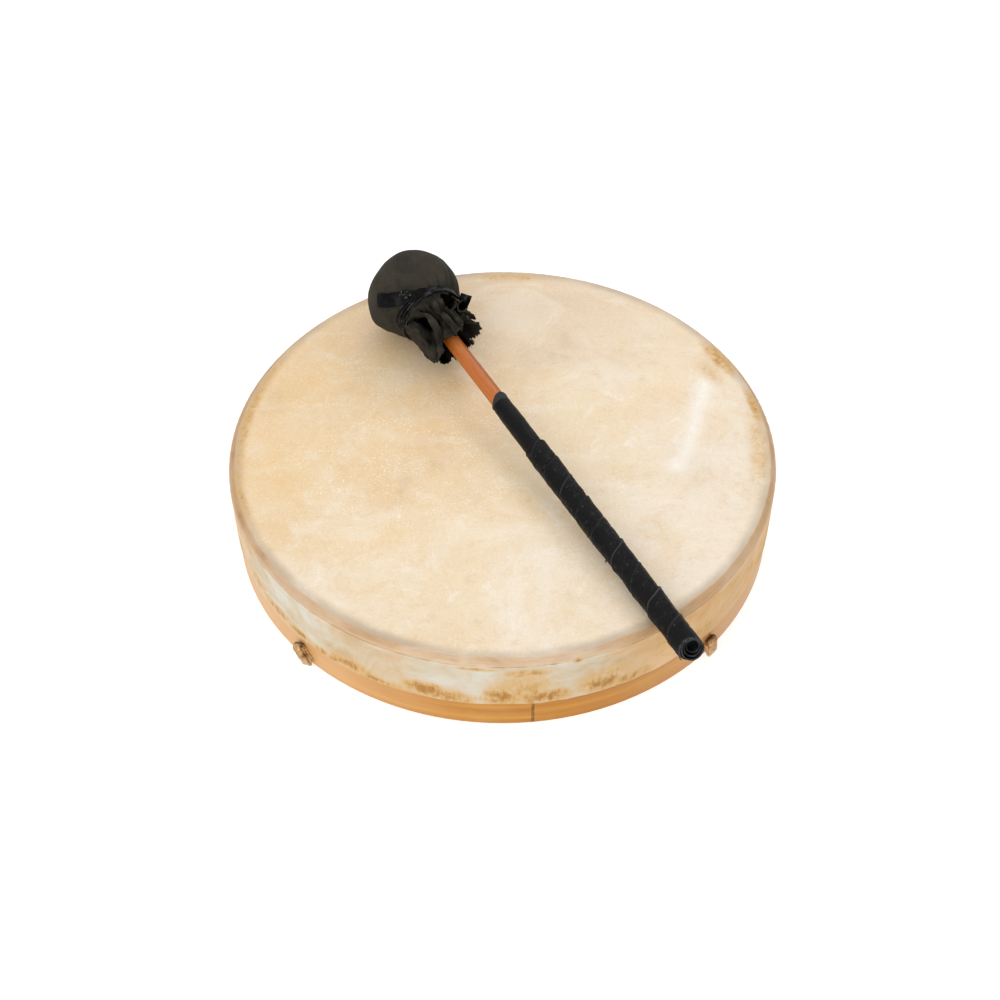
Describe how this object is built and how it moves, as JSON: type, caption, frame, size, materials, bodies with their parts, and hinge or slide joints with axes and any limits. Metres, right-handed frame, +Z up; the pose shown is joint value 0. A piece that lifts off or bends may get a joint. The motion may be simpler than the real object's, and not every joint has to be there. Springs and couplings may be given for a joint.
{
  "type": "frame drum",
  "caption": "Round frame drum with a rawhide head on a bent wood hoop, a crossed thong grip inside, and a padded beater lying on the head.",
  "frame": {"origin": "centre of the hoop's bottom face, on the surface that the drum stands on", "axes": "+Z up to the head, -Y towards the player, +X to the player's right"},
  "size_m": [0.4, 0.4037, 0.1413],
  "materials": {
    "hoop_wood": "oiled, satin",
    "rawhide_skin": "scraped rawhide, slight gloss",
    "rawhide_thong": "dried rawhide",
    "stick_wood": "stained, satin",
    "core_felt": "wound felt",
    "wool_padding": "soft wool",
    "black_suede": "matte suede",
    "strap_leather": "smooth, low gloss",
    "wrap_leather": "creased, low gloss"
  },
  "bodies": {
    "drum": {"shell_hoop": "hoop_wood", "head_skin": "rawhide_skin", "skin_collar": "rawhide_skin", "stop_knot_front_left": "rawhide_thong", "stop_knot_front_right": "rawhide_thong", "stop_knot_back_right": "rawhide_thong", "stop_knot_back_left": "rawhide_thong", "grip_thong_lower": "rawhide_thong", "grip_thong_upper": "rawhide_thong", "grip_lashing": "rawhide_thong"},
    "beater": {"beater_stick": "stick_wood", "beater_core": "core_felt", "beater_padding": "wool_padding", "head_cover": "black_suede", "tie_strap": "strap_leather", "tie_lace": "strap_leather", "tie_knot": "strap_leather", "strap_tail": "strap_leather", "handle_sleeve": "wrap_leather", "handle_wrap": "wrap_leather", "butt_roll": "wrap_leather"}
  },
  "joints": [
    {"name": "beater_lift", "type": "slide", "parent": "drum", "child": "beater", "axis": [0, 0, 1], "range_m": [0, 0.15]}
  ]
}
